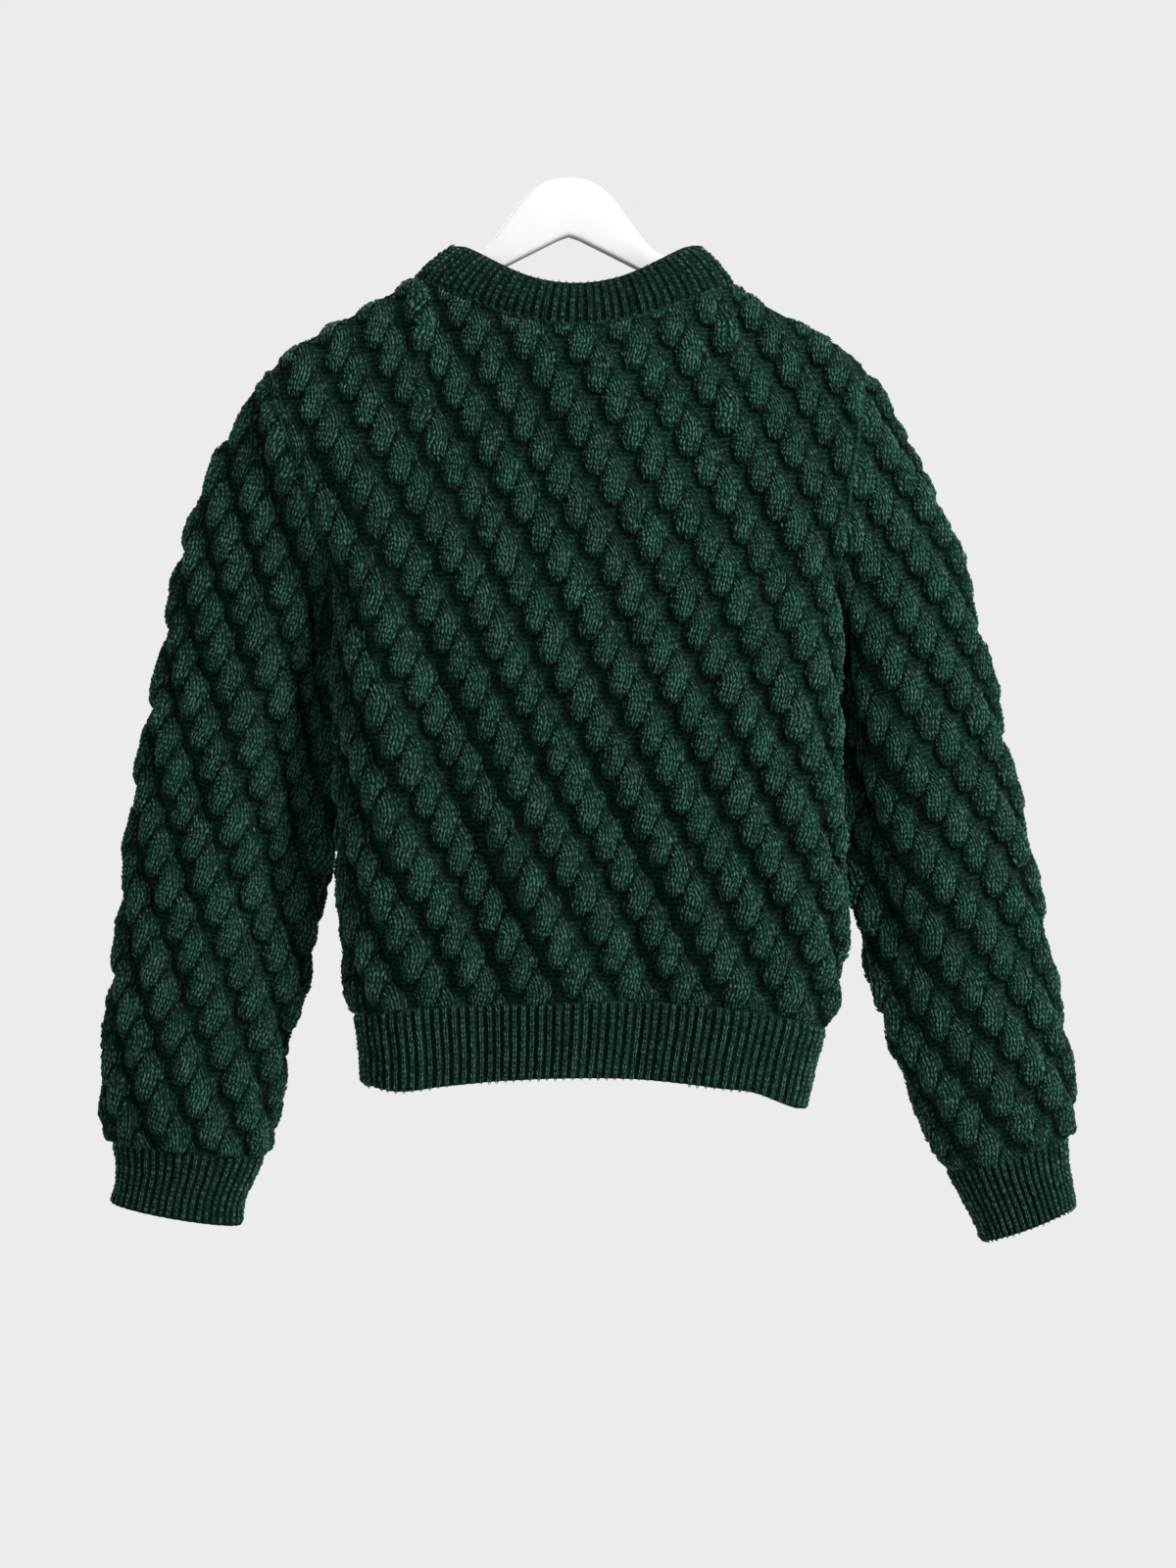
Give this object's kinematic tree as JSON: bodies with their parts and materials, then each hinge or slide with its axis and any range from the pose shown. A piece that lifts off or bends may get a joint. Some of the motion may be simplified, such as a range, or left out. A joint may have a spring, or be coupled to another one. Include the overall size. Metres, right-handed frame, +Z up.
{
  "type": "cable-knit sweater on a hanger",
  "caption": "Cropped round-neck sweater in diagonal cable knit with ribbed neck, hem and cuffs, hanging on a plain white hanger.",
  "frame": {"origin": "top of the hanger, at the middle of its upper edge, where a hook would screw in", "axes": "+X to the viewer's right with the near side facing -Y, +Z up"},
  "size_m": [0.7027, 0.1307, 0.7624],
  "materials": {
    "cable_knit": "matt wool knit in diagonal cables",
    "rib_knit": "matt wool rib",
    "hanger_finish": "smooth white"
  },
  "bodies": {
    "root": {"back_panel": "cable_knit", "front_panel": "cable_knit", "hem_back": "rib_knit", "hem_front": "rib_knit", "sleeve_left": "cable_knit", "sleeve_right": "cable_knit", "cuff_left": "rib_knit", "cuff_right": "rib_knit", "neckband": "rib_knit", "hanger": "hanger_finish"}
  },
  "joints": []
}
